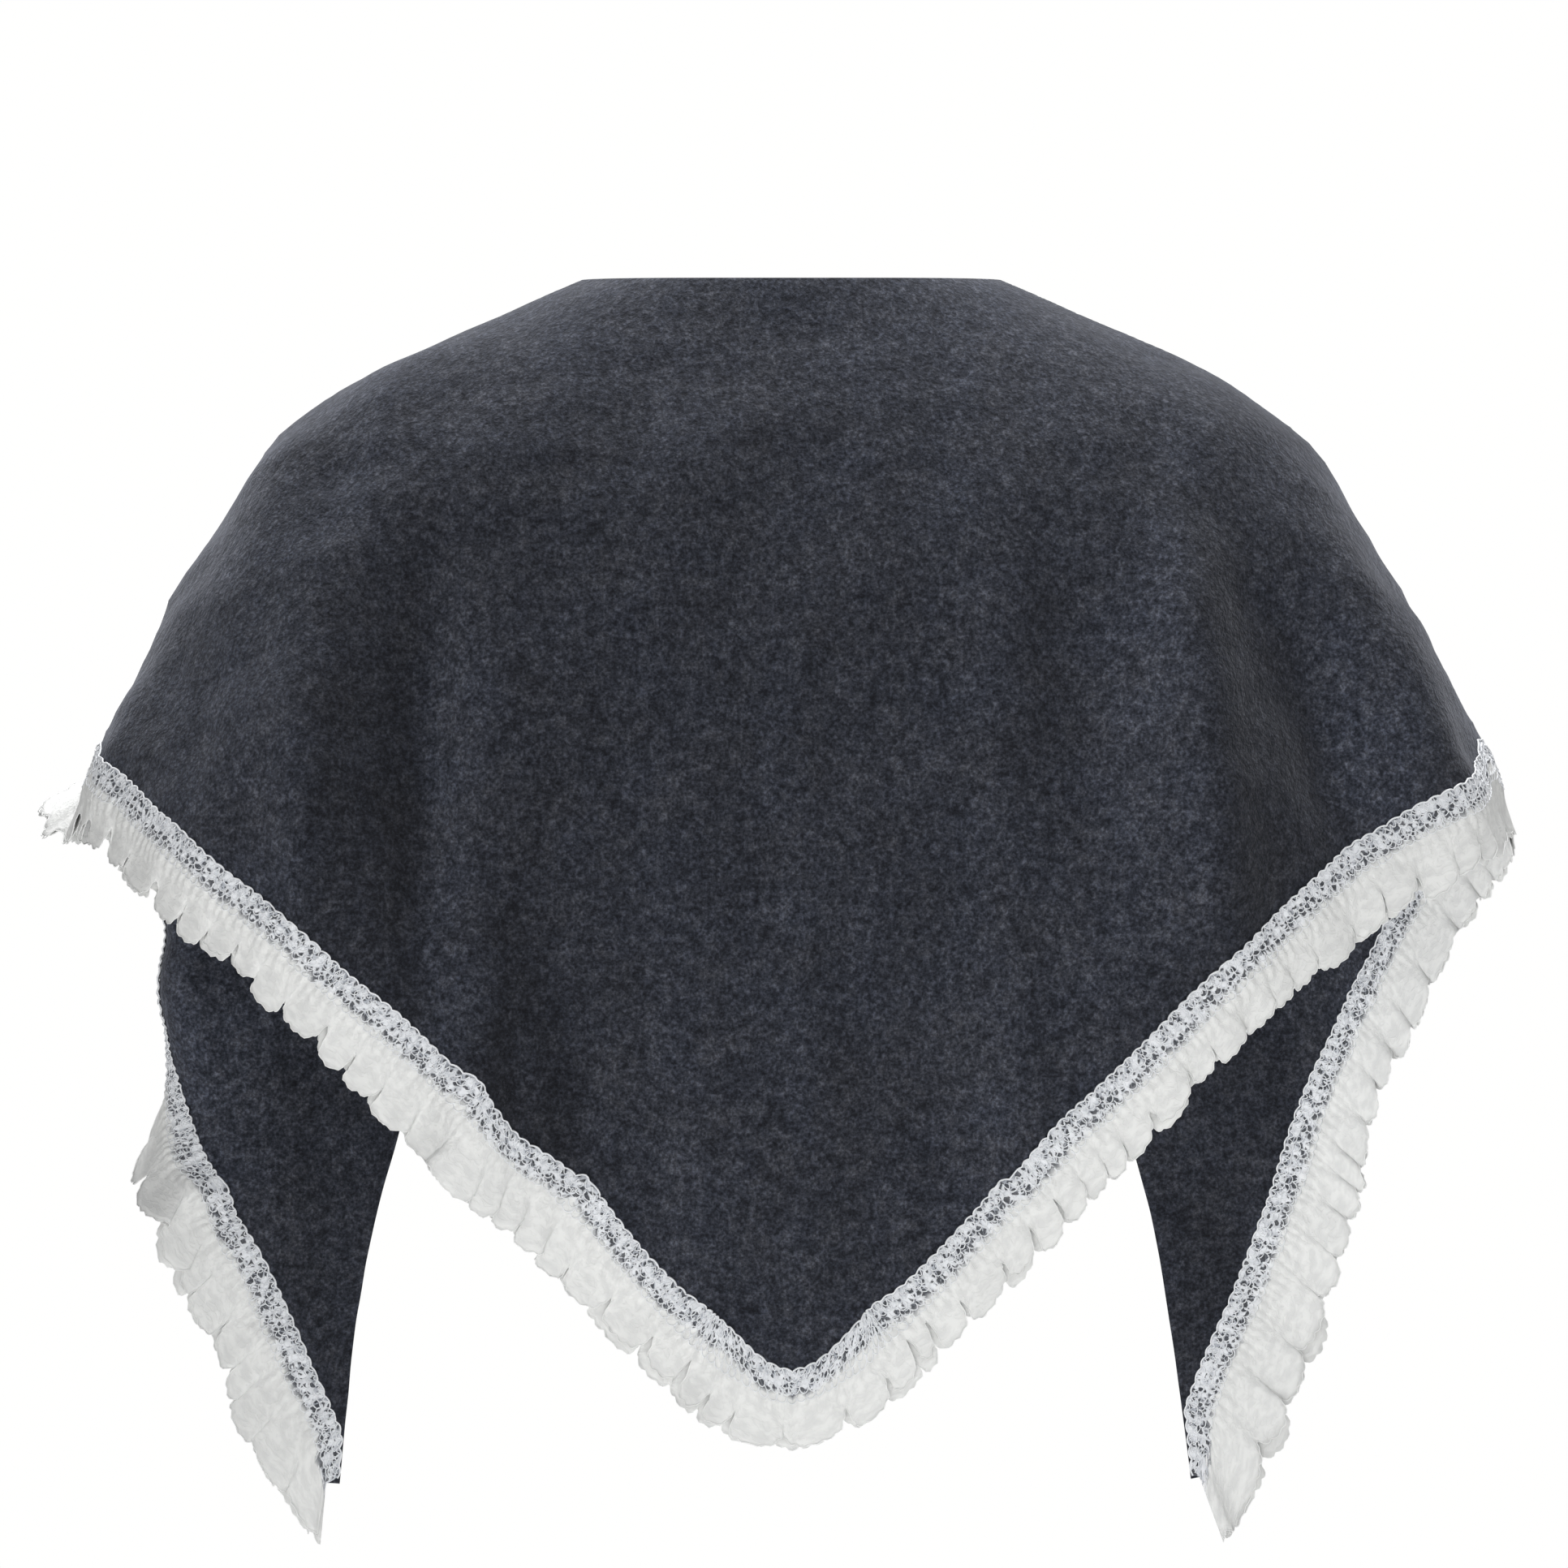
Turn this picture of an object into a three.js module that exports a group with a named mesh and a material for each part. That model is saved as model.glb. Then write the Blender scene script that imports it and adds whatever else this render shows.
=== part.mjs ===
// A triangular wool shawl scarf with a gathered lace trim, shaped as it is worn over the shoulders.
//
// The long side of the triangle runs round the back of the neck and down both fronts. The point of
// the triangle hangs at the centre of the back. A lace trim follows the two short sides.
// Millimetres, +Z up. X runs across the shoulders, -Y is the wearer's back and +Y the front. The
// origin is the centre of the neck, at the height of the neck edge, where the wearer holds it up.

import * as THREE from "three";

// ---------------------------------------------------------------- driving dimensions
const WOOL_WALL = 2;
const LACE_WALL = 0.8;
const SEAM_GAP = 0.3;
const FRILL_GAP = 0.6;         // wider than a seam, because the hem twists between stations

const HEADING_REACH = 18;      // lace heading, measured square to the hem
const HEADING_SHARE = 0.75;    // the most that it takes of a short column near an end
const FRILL_REACH = 20;        // mean depth of the frill past the wool's cut edge
const FRILL_SCALLOP = 2.5;     // how much its depth rises and falls
const RUFFLE_PITCH = 31;
const RUFFLE_DEPTH = 6.5;      // half of the ruffle's swing at the frill's free edge
// Two slow waves along the hem that shift the ruffles, so that no two neighbours are alike.
const RUFFLE_SHIFTS = [{ shift: 1.1, length: 83 }, { shift: 0.8, length: 37 }];
const TIP_FAN = 45;            // the frill turns to point down over this last stretch of the hem
const TIP_REACH = 8;           // and grows longer by this much
const TIP_TURN = 0.7;          // share of the way that it turns from square to along the hem

const COLUMNS_A_SIDE = 38;
const BODY_ROWS = 14;
const BAND_ROWS = 2;           // rows of the wool under the lace heading
const ROWS = BODY_ROWS + BAND_ROWS;
const FRILL_STEPS = 4;         // frill columns between two columns of the wool
const FRILL_ROWS = 2;
const TIP_CUT = 0.993;         // the ends are blunt: the last of each long side is left off
const EDGE_SAMPLES = 200;      // fine steps used to measure each stretch of an edge

// Level sections of the draped cloth, from the neck edge down. halfWidth is measured across the
// shoulders, back and front are depths from the shoulder ridge, and square fills out the corners.
const SECTIONS = [
  { drop: 0, halfWidth: 98, back: 62, front: 60, square: 0.02 },
  { drop: 9, halfWidth: 119, back: 66, front: 66, square: 0.05 },
  { drop: 21, halfWidth: 145, back: 71, front: 73, square: 0.08 },
  { drop: 46, halfWidth: 202, back: 83, front: 88, square: 0.12 },
  { drop: 73, halfWidth: 238, back: 96, front: 100, square: 0.15 },
  { drop: 112, halfWidth: 266, back: 109, front: 112, square: 0.16 },
  { drop: 168, halfWidth: 297, back: 120, front: 124, square: 0.16 },
  { drop: 239, halfWidth: 331, back: 127, front: 132, square: 0.16 },
  { drop: 300, halfWidth: 338, back: 129, front: 138, square: 0.16 },
  { drop: 400, halfWidth: 338, back: 128, front: 140, square: 0.16 },
  { drop: 600, halfWidth: 334, back: 120, front: 136, square: 0.16 },
];

// The cloth's edges. across is the distance from the middle. drop is the distance below the neck.
// The back hem runs from the point to the elbow, and each front hem from the elbow to its end.
const POINT = [{ across: 0, drop: 524 }, { across: 13, drop: 521 }, { across: 28, drop: 513 }];
const BACK_HEM = {
  left: [
    ...POINT,
    { across: 45, drop: 499 }, { across: 82, drop: 461 }, { across: 118, drop: 424 },
    { across: 139, drop: 406 }, { across: 152, drop: 390 }, { across: 184, drop: 361 },
    { across: 218, drop: 331 }, { across: 256, drop: 298 }, { across: 294, drop: 268 },
    { across: 319, drop: 249 },
  ],
  right: [
    ...POINT,
    { across: 43, drop: 500 }, { across: 97, drop: 444 }, { across: 135, drop: 404 },
    { across: 184, drop: 355 }, { across: 237, drop: 306 }, { across: 276, drop: 277 },
    { across: 300, drop: 260 }, { across: 319, drop: 247 },
  ],
};
const ELBOW = { across: 331, drop: 239 };
const FRONT_EDGE = {
  left: [
    { across: 99, drop: 2 }, { across: 101, drop: 10 }, { across: 105, drop: 24 },
    { across: 110, drop: 48 }, { across: 122, drop: 112 }, { across: 142, drop: 222 },
    { across: 163, drop: 320 }, { across: 183, drop: 389 }, { across: 199, drop: 445 },
    { across: 208, drop: 500 }, { across: 216, drop: 572 },
  ],
  right: [
    { across: 99, drop: 2 }, { across: 101, drop: 10 }, { across: 104, drop: 24 },
    { across: 108, drop: 48 }, { across: 117, drop: 112 }, { across: 130, drop: 222 },
    { across: 145, drop: 320 }, { across: 159, drop: 395 }, { across: 172, drop: 445 },
    { across: 181, drop: 500 }, { across: 190, drop: 570 },
  ],
};
const FRONT_HEM = {
  left: [
    { across: 314, drop: 262 }, { across: 308, drop: 290 }, { across: 307, drop: 320 },
    { across: 308, drop: 352 }, { across: 297, drop: 396 }, { across: 282, drop: 436 },
    { across: 264, drop: 471 }, { across: 247, drop: 510 }, { across: 229, drop: 550 },
    { across: 219, drop: 572 },
  ],
  right: [
    { across: 325, drop: 256 }, { across: 303, drop: 297 }, { across: 272, drop: 355 },
    { across: 254, drop: 393 }, { across: 240, drop: 437 }, { across: 225, drop: 478 },
    { across: 211, drop: 512 }, { across: 199, drop: 544 }, { across: 192, drop: 570 },
  ],
};

// Soft folds that run down the cloth. angle is degrees round the figure from the centre back, and
// lean is how far the fold has turned at the foot. inner and outer are the widths of its two
// flanks in degrees, depth is outward, and it grows from the first drop to the second.
const FOLDS = {
  left: [
    { angle: 44, lean: -8, inner: 10, outer: 15, depth: 12, from: 70, to: 330 },
    { angle: 25, lean: -4, inner: 3.5, outer: 9, depth: 10, from: 200, to: 380 },
    { angle: 16, lean: -2, inner: 8, outer: 4, depth: -9, from: 200, to: 400 },
    { angle: 68, lean: 0, inner: 9, outer: 8, depth: -7, from: 60, to: 250 },
    { angle: 122, lean: 6, inner: 10, outer: 10, depth: 7, from: 90, to: 330 },
    { angle: 141, lean: -2, inner: 9, outer: 8, depth: -7, from: 120, to: 380 },
  ],
  right: [
    { angle: 29, lean: -3, inner: 12, outer: 9, depth: 11, from: 70, to: 310 },
    { angle: 45, lean: 3, inner: 8, outer: 9, depth: -12, from: 60, to: 250 },
    { angle: 64, lean: 2, inner: 8, outer: 9, depth: 8, from: 60, to: 240 },
    { angle: 118, lean: 5, inner: 10, outer: 10, depth: -7, from: 80, to: 300 },
    { angle: 139, lean: 0, inner: 9, outer: 9, depth: 8, from: 110, to: 360 },
  ],
};

// Below the left elbow the front hem rolls forward, so that its lace is on the far side. start,
// full, opens and gone are shares of the way from the point to the end of the side. reach is the
// cloth that rolls, measured up from the hem.
const ROLL = { start: 0.555, full: 0.66, opens: 0.72, gone: 0.85, reach: 40, radius: 15 };

// ---------------------------------------------------------------- small helpers
const SIDE_SIGN = { left: -1, right: 1 };
const DEGREE = Math.PI / 180;

function smoothStep(value) {
  const clamped = Math.min(1, Math.max(0, value));
  return clamped * clamped * (3 - 2 * clamped);
}

/** Slope of a table's column at one row, from its neighbours. */
function tableSlope(table, key, column, row) {
  const before = table[Math.max(0, row - 1)];
  const after = table[Math.min(table.length - 1, row + 1)];
  return (after[column] - before[column]) / (after[key] - before[key]);
}

/** A column's value between the rows of a table, by a smooth curve through them. */
function tableValue(table, key, column, at) {
  let row = 0;
  while (row < table.length - 2 && table[row + 1][key] < at) {
    row += 1;
  }
  const low = table[row];
  const high = table[row + 1];
  const span = high[key] - low[key];
  const part = Math.min(1, Math.max(0, (at - low[key]) / span));
  const lowSlope = tableSlope(table, key, column, row) * span;
  const highSlope = tableSlope(table, key, column, row + 1) * span;
  const square = part * part;
  const cube = square * part;
  return (2 * cube - 3 * square + 1) * low[column] + (cube - 2 * square + part) * lowSlope
    + (3 * square - 2 * cube) * high[column] + (cube - square) * highSlope;
}

/** The input between low and high where a rising function reaches a target. */
function solveRising(rising, low, high, target) {
  const halvings = 30;
  let bottom = low;
  let top = high;
  for (let step = 0; step < halvings; step += 1) {
    const middle = (bottom + top) / 2;
    if (rising(middle) < target) {
      bottom = middle;
    } else {
      top = middle;
    }
  }
  return (bottom + top) / 2;
}

// ---------------------------------------------------------------- the draped surface
/** How far below the neck edge the shoulder ridge lies, at a distance across. */
function ridgeDrop(across) {
  const halfWidthAt = (drop) => tableValue(SECTIONS, "drop", "halfWidth", drop);
  return across <= SECTIONS[0].halfWidth ? 0 : solveRising(halfWidthAt, 0, ELBOW.drop, across);
}

/** Outward push of the folds at an angle round the figure. */
function foldDepth(side, angle, drop) {
  let depth = 0;
  for (const fold of FOLDS[side]) {
    const growth = smoothStep((drop - fold.from) / (fold.to - fold.from));
    const offset = angle - (fold.angle + fold.lean * growth);
    const width = offset < 0 ? fold.inner : fold.outer;
    depth += fold.depth * growth * Math.exp(-((offset / width) ** 2));
  }
  return depth;
}

/** A point of the cloth's middle surface. fall is the drop below the ridge: front is negative. */
function clothPoint(side, across, fall) {
  const drop = ridgeDrop(across) + Math.abs(fall);
  const halfWidth = tableValue(SECTIONS, "drop", "halfWidth", drop);
  const square = tableValue(SECTIONS, "drop", "square", drop);
  const depth = tableValue(SECTIONS, "drop", fall >= 0 ? "back" : "front", drop);
  const reach = (turn) => Math.sin(turn) * (1 + square * Math.cos(turn) ** 2);
  const turn = solveRising(reach, 0, Math.PI / 2, across / halfWidth);
  const facing = fall >= 0 ? -1 : 1;
  const angle = fall >= 0 ? turn / DEGREE : 180 - turn / DEGREE;
  const outward = new THREE.Vector2(depth * Math.sin(turn), facing * halfWidth * Math.cos(turn));
  outward.normalize().multiplyScalar(foldDepth(side, angle, drop));
  const along = facing * depth * Math.cos(turn) * (1 + square * Math.sin(turn) ** 2);
  return new THREE.Vector3(
    SIDE_SIGN[side] * (across + outward.x),
    along + outward.y,
    -drop,
  );
}

/** Fine places along a table of edge rows. facing is 1 on the back and -1 on the front. */
function edgeSamples(rows, facing) {
  const places = rows.map((row) => (
    new THREE.Vector2(row.across, facing * Math.max(0, row.drop - ridgeDrop(row.across)))
  ));
  return new THREE.SplineCurve(places).getPoints(EDGE_SAMPLES);
}

/** Fine places round half the back of the neck, from the centre back to the side of the neck. */
function neckSamples() {
  const places = [];
  for (let i = 0; i < EDGE_SAMPLES; i += 1) {
    const turn = (Math.PI / 2) * (i / EDGE_SAMPLES);
    places.push(new THREE.Vector2(SECTIONS[0].halfWidth * Math.sin(turn), 0));
  }
  return places;
}

/** Places along an edge of the cloth, evenly spaced by its real length on the surface. */
function evenPlaces(side, samples, count) {
  const points = samples.map((place) => clothPoint(side, place.x, place.y));
  const travelled = [0];
  for (let i = 1; i < points.length; i += 1) {
    travelled.push(travelled[i - 1] + points[i].distanceTo(points[i - 1]));
  }
  const total = travelled[travelled.length - 1];
  const even = [];
  let next = 1;
  for (let i = 0; i <= count; i += 1) {
    const target = total * TIP_CUT * (i / count);
    while (next < travelled.length - 1 && travelled[next] < target) {
      next += 1;
    }
    const part = (target - travelled[next - 1]) / (travelled[next] - travelled[next - 1]);
    even.push(samples[next - 1].clone().lerp(samples[next], part));
  }
  return even;
}

/** One column of the cloth from its long side to its hem, evenly spaced down to the lace. */
function clothColumn(side, top, foot, hemRun) {
  const fineSteps = 300;
  const points = [];
  const travelled = [0];
  for (let i = 0; i <= fineSteps; i += 1) {
    const place = top.clone().lerp(foot, i / fineSteps);
    points.push(clothPoint(side, place.x, place.y));
    if (i > 0) {
      travelled.push(travelled[i - 1] + points[i].distanceTo(points[i - 1]));
    }
  }
  const total = travelled[fineSteps];
  const lastRun = points[fineSteps].clone().sub(points[fineSteps - 20]).normalize();
  const squareness = Math.max(0.5, lastRun.cross(hemRun).length());
  const heading = Math.min(HEADING_SHARE * total, HEADING_REACH / squareness);
  const targets = [];
  for (let row = 0; row < BODY_ROWS; row += 1) {
    targets.push((total - heading) * (row / BODY_ROWS));
  }
  for (let row = 0; row <= BAND_ROWS; row += 1) {
    targets.push(total - heading * (1 - row / BAND_ROWS));
  }
  const column = [];
  let next = 1;
  for (const target of targets) {
    while (next < fineSteps && travelled[next] < target) {
      next += 1;
    }
    const part = (target - travelled[next - 1]) / (travelled[next] - travelled[next - 1]);
    column.push(points[next - 1].clone().lerp(points[next], part));
  }
  return column;
}

/** Columns of one side, from the centre back to the end of the long side. */
function sideColumns(side) {
  const neckSide = { across: SECTIONS[0].halfWidth, drop: 0 };
  const longSide = [...neckSamples(), ...edgeSamples([neckSide, ...FRONT_EDGE[side]], -1)];
  const backHem = edgeSamples([...BACK_HEM[side], ELBOW], 1).slice(0, -1);
  const hem = [...backHem, ...edgeSamples([ELBOW, ...FRONT_HEM[side]], -1)];
  const tops = evenPlaces(side, longSide, COLUMNS_A_SIDE);
  const feet = evenPlaces(side, hem, COLUMNS_A_SIDE);
  const hemPoints = feet.map((place) => clothPoint(side, place.x, place.y));
  return tops.map((top, i) => {
    const hemRun = hemPoints[Math.min(COLUMNS_A_SIDE, i + 1)].clone();
    hemRun.sub(hemPoints[Math.max(0, i - 1)]).normalize();
    return clothColumn(side, top, feet[i], hemRun);
  });
}

/** The outward normal at each point of a grid of columns. */
function gridNormals(grid) {
  return grid.map((column, i) => column.map((point, j) => {
    const acrossStep = grid[Math.min(grid.length - 1, i + 1)][j].clone();
    acrossStep.sub(grid[Math.max(0, i - 1)][j]);
    const downStep = column[Math.min(column.length - 1, j + 1)].clone();
    downStep.sub(column[Math.max(0, j - 1)]);
    return downStep.cross(acrossStep).normalize();
  }));
}

function offsetGrid(grid, normals, distance) {
  return grid.map((column, i) => column.map((point, j) => (
    point.clone().addScaledVector(normals[i][j], distance)
  )));
}

/** Rolls the foot of a column forward, round a radius that opens out away from the roll. */
function rolledColumn(column, normals, share) {
  const fromHem = column.map(() => 0);
  for (let j = column.length - 2; j >= 0; j -= 1) {
    fromHem[j] = fromHem[j + 1] + column[j].distanceTo(column[j + 1]);
  }
  let below = column.length - 1;
  while (below > 1 && fromHem[below] < ROLL.reach) {
    below -= 1;
  }
  const part = (fromHem[below] - ROLL.reach) / (fromHem[below] - fromHem[below + 1]);
  const start = column[below].clone().lerp(column[below + 1], part);
  const normal = normals[below].clone().lerp(normals[below + 1], part).normalize();
  const away = column[below + 1].clone().sub(column[below]).normalize();
  const radius = ROLL.radius / share;
  return column.map((point, j) => {
    if (j <= below) {
      return point;
    }
    const turn = (ROLL.reach - fromHem[j]) / radius;
    const rolled = start.clone().addScaledVector(away, radius * Math.sin(turn));
    return rolled.addScaledVector(normal, radius * (1 - Math.cos(turn)));
  });
}

/** The cloth with its rolled stretch of hem. The left side's columns come first, from its end. */
function rolledGrid(grid) {
  const normals = gridNormals(grid);
  return grid.map((column, i) => {
    const place = (COLUMNS_A_SIDE - i) / COLUMNS_A_SIDE;
    const rising = smoothStep((place - ROLL.start) / (ROLL.full - ROLL.start));
    const share = rising * smoothStep((ROLL.gone - place) / (ROLL.gone - ROLL.opens));
    return share > 0 ? rolledColumn(column, normals[i], share) : column;
  });
}

// ---------------------------------------------------------------- walls
/** A closed wall between two grids of the same size: the outer one faces out. */
function wallGeometry(outer, inner) {
  const columns = outer.length;
  const rows = outer[0].length;
  const layer = columns * rows;
  const positions = [];
  const triangles = [];
  for (const grid of [outer, inner]) {
    for (const column of grid) {
      for (const point of column) {
        positions.push(point.x, point.y, point.z);
      }
    }
  }
  const index = (i, j) => i * rows + j;
  for (let i = 0; i < columns - 1; i += 1) {
    for (let j = 0; j < rows - 1; j += 1) {
      const loop = [index(i, j), index(i, j + 1), index(i + 1, j + 1), index(i + 1, j)];
      const [a, b, c, d] = i < (columns - 1) / 2 ? [...loop.slice(1), loop[0]] : loop;
      triangles.push(a, b, c, a, c, d);
      triangles.push(layer + a, layer + c, layer + b, layer + a, layer + d, layer + c);
    }
  }
  const rim = [];
  for (let j = 0; j < rows - 1; j += 1) {
    rim.push(index(0, j));
  }
  for (let i = 0; i < columns - 1; i += 1) {
    rim.push(index(i, rows - 1));
  }
  for (let j = rows - 1; j > 0; j -= 1) {
    rim.push(index(columns - 1, j));
  }
  for (let i = columns - 1; i > 0; i -= 1) {
    rim.push(index(i, 0));
  }
  rim.forEach((start, i) => {
    const end = rim[(i + 1) % rim.length];
    triangles.push(start, layer + start, layer + end, start, layer + end, end);
  });
  const geometry = new THREE.BufferGeometry();
  geometry.setAttribute("position", new THREE.Float32BufferAttribute(positions, 3));
  geometry.setIndex(triangles);
  geometry.computeVertexNormals();
  return geometry;
}

function namedMesh(name, geometry, material) {
  const mesh = new THREE.Mesh(geometry, material);
  mesh.name = name;
  return mesh;
}

// ---------------------------------------------------------------- pieces
function woolTriangle(grid, normals, material) {
  const outer = offsetGrid(grid, normals, WOOL_WALL / 2);
  const inner = offsetGrid(grid, normals, -WOOL_WALL / 2);
  return namedMesh("wool_triangle", wallGeometry(outer, inner), material);
}

/** The heading lies on the last band of the wool, moved out along its normals. */
function laceHeading(name, grid, normals, face, material) {
  const band = grid.map((column) => column.slice(BODY_ROWS));
  const bandNormals = normals.map((column) => column.slice(BODY_ROWS));
  const near = face * (WOOL_WALL / 2 + SEAM_GAP);
  const far = near + face * LACE_WALL;
  const outer = offsetGrid(band, bandNormals, Math.max(near, far));
  const inner = offsetGrid(band, bandNormals, Math.min(near, far));
  return namedMesh(name, wallGeometry(outer, inner), material);
}

/** Where the frill hangs from: points, normals and directions away from the wool, along the hem. */
function hemStations(grid, normals) {
  const last = grid.length - 1;
  const length = [0];
  for (let i = 1; i <= last; i += 1) {
    length.push(length[i - 1] + grid[i][ROWS].distanceTo(grid[i - 1][ROWS]));
  }
  return grid.map((column, i) => {
    const point = column[ROWS];
    const normal = normals[i][ROWS];
    const along = grid[Math.min(last, i + 1)][ROWS].clone().sub(grid[Math.max(0, i - 1)][ROWS]);
    along.normalize();
    const away = along.clone().cross(normal).normalize();
    if (away.dot(point.clone().sub(column[ROWS - 1])) < 0) {
      away.negate();
    }
    const toEnd = Math.min(length[i], length[last] - length[i]);
    const fan = 1 - smoothStep(toEnd / TIP_FAN);
    const downHem = i < last / 2 ? along.clone().negate() : along;
    away.lerp(downHem, TIP_TURN * fan).normalize();
    return { point, normal, away, fan, travelled: length[i] };
  });
}

function mixStations(low, high, part) {
  return {
    point: low.point.clone().lerp(high.point, part),
    normal: low.normal.clone().lerp(high.normal, part).normalize(),
    away: low.away.clone().lerp(high.away, part).normalize(),
    fan: low.fan + (high.fan - low.fan) * part,
    travelled: low.travelled + (high.travelled - low.travelled) * part,
  };
}

/** Where a place along the hem lies in its ruffle, as an angle. */
function rufflePhase(travelled) {
  let phase = (2 * Math.PI * travelled) / RUFFLE_PITCH;
  for (const wave of RUFFLE_SHIFTS) {
    phase += wave.shift * Math.sin(travelled / wave.length);
  }
  return phase;
}

/** The ruffled part of the lace, which starts a seam's gap past the wool's cut edge. */
function laceFrill(grid, normals, material) {
  const stations = hemStations(grid, normals);
  const frill = [];
  const frillNormals = [];
  for (let i = 0; i < (stations.length - 1) * FRILL_STEPS + 1; i += 1) {
    const low = Math.min(stations.length - 2, Math.floor(i / FRILL_STEPS));
    const station = mixStations(stations[low], stations[low + 1], i / FRILL_STEPS - low);
    const phase = rufflePhase(station.travelled);
    const reach = FRILL_REACH + FRILL_SCALLOP * Math.cos(2 * phase) + TIP_REACH * station.fan;
    const column = [];
    for (let j = 0; j <= FRILL_ROWS; j += 1) {
      const part = j / FRILL_ROWS;
      const point = station.point.clone();
      point.addScaledVector(station.away, FRILL_GAP + reach * part);
      point.addScaledVector(station.normal, RUFFLE_DEPTH * part * Math.sin(phase));
      column.push(point);
    }
    frill.push(column);
    frillNormals.push(column.map(() => station.normal));
  }
  const outer = offsetGrid(frill, frillNormals, LACE_WALL / 2);
  const inner = offsetGrid(frill, frillNormals, -LACE_WALL / 2);
  return namedMesh("lace_frill", wallGeometry(outer, inner), material);
}

// ---------------------------------------------------------------- materials and assembly
const wool = new THREE.MeshStandardMaterial({ color: 0x35373f, roughness: 0.95, metalness: 0 });
const netLace = new THREE.MeshStandardMaterial({ color: 0xdfe3ea, roughness: 0.7, metalness: 0 });
const creamLace = new THREE.MeshStandardMaterial({ color: 0xeeeee8, roughness: 0.7, metalness: 0 });

const leftColumns = sideColumns("left").reverse();
const rightColumns = sideColumns("right").slice(1);
const clothGrid = rolledGrid([...leftColumns, ...rightColumns]);
const clothNormals = gridNormals(clothGrid);

const group = new THREE.Group();
group.add(woolTriangle(clothGrid, clothNormals, wool));
group.add(laceHeading("lace_heading_face", clothGrid, clothNormals, 1, netLace));
group.add(laceHeading("lace_heading_inside", clothGrid, clothNormals, -1, netLace));
group.add(laceFrill(clothGrid, clothNormals, creamLace));

export default group;
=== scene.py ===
# %% [markdown]
# # A lace-trimmed wool shawl scarf, worn open over the shoulders
#
# The real piece is one triangle of brushed charcoal wool. Its long side runs round the back of the
# neck and down both fronts, and a gathered lace strip is sewn along each face of the two short
# sides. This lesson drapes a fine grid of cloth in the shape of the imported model, gives it folds,
# a nap and a flecked colour, then gathers the lace from the same grid, so that it follows the hem.

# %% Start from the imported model
from collections import namedtuple

import bmesh
import bpy
import numpy as np
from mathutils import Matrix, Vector


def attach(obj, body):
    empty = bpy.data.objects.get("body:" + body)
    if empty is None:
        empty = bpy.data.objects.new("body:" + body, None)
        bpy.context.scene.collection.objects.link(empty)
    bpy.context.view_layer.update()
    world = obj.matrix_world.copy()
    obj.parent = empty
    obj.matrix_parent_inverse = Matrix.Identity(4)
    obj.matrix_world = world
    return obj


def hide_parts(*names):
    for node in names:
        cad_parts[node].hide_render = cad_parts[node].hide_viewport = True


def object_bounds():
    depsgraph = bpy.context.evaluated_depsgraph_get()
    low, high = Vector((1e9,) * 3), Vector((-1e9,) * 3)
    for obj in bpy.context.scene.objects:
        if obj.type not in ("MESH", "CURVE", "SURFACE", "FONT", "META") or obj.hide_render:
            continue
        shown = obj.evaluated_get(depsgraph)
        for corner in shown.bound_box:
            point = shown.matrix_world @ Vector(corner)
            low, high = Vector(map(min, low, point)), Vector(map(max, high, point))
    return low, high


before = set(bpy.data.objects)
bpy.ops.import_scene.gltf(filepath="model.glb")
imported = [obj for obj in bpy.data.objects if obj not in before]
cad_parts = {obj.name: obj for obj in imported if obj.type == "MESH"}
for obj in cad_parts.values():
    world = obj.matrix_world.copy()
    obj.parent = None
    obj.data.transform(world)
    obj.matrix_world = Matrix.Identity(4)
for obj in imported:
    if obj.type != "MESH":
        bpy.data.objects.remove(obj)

cad_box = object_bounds()
cad_low, cad_high = cad_box
print("packed model, metres:", [round(side, 3) for side in cad_high - cad_low])

# %% [markdown]
# ## The camera and the light
#
# The shawl is seen level, straight from behind, from far off with a long lens, which keeps the
# outline close to its true shape. A pale disc is the floor and the world is white. Dark cloth with
# white lace needs light that is nearly even, or the lace burns out before the wool shows. So the
# world gives most of it. A panel low behind lifts the hem, a small one above marks the shoulders,
# one in front lights the fronts, and weak ones elsewhere keep the folds soft.

# %% Camera, floor and light
CAMERA_DISTANCE = 9.0
FRAME_WIDTH = 0.734          # what the camera takes in at the shawl's depth
SENSOR_WIDTH = 36.0
VIEW_CENTRE = Vector((-0.0034, 0.0, -0.235))
FLOOR_DROP = 0.25            # from the tips of the tails down to the floor
FLOOR_RADIUS = 2.5
FLOOR_SIDES = 96
WORLD_GLOW = 0.40
Panel = namedtuple("Panel", "name place aim size power")
PANELS = [
    Panel("panel_key", (-0.6, -2.0, 0.7), (0.0, 0.0, -0.2), 0.6, 4.5),
    Panel("panel_above", (0.1, 0.15, 1.2), (0.0, 0.0, 0.0), 0.5, 30.0),
    Panel("panel_low", (-0.1, -2.1, -0.8), (0.0, 0.0, -0.4), 0.9, 25.0),
    Panel("panel_inside", (-0.05, -0.06, -0.30), (0.26, 0.10, -0.42), 0.1, 0.5),
    Panel("panel_right", (1.9, -0.3, 0.3), (0.1, 0.0, -0.3), 0.8, 3.0),
    Panel("panel_front", (-0.3, 1.9, 0.9), (0.0, 0.0, -0.25), 1.2, 16.0),
]


def add_object(name, data):
    thing = bpy.data.objects.new(name, data)
    bpy.context.scene.collection.objects.link(thing)
    return thing


def look_at(thing, target):
    thing.rotation_euler = (target - thing.location).to_track_quat("-Z", "Y").to_euler()


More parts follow.
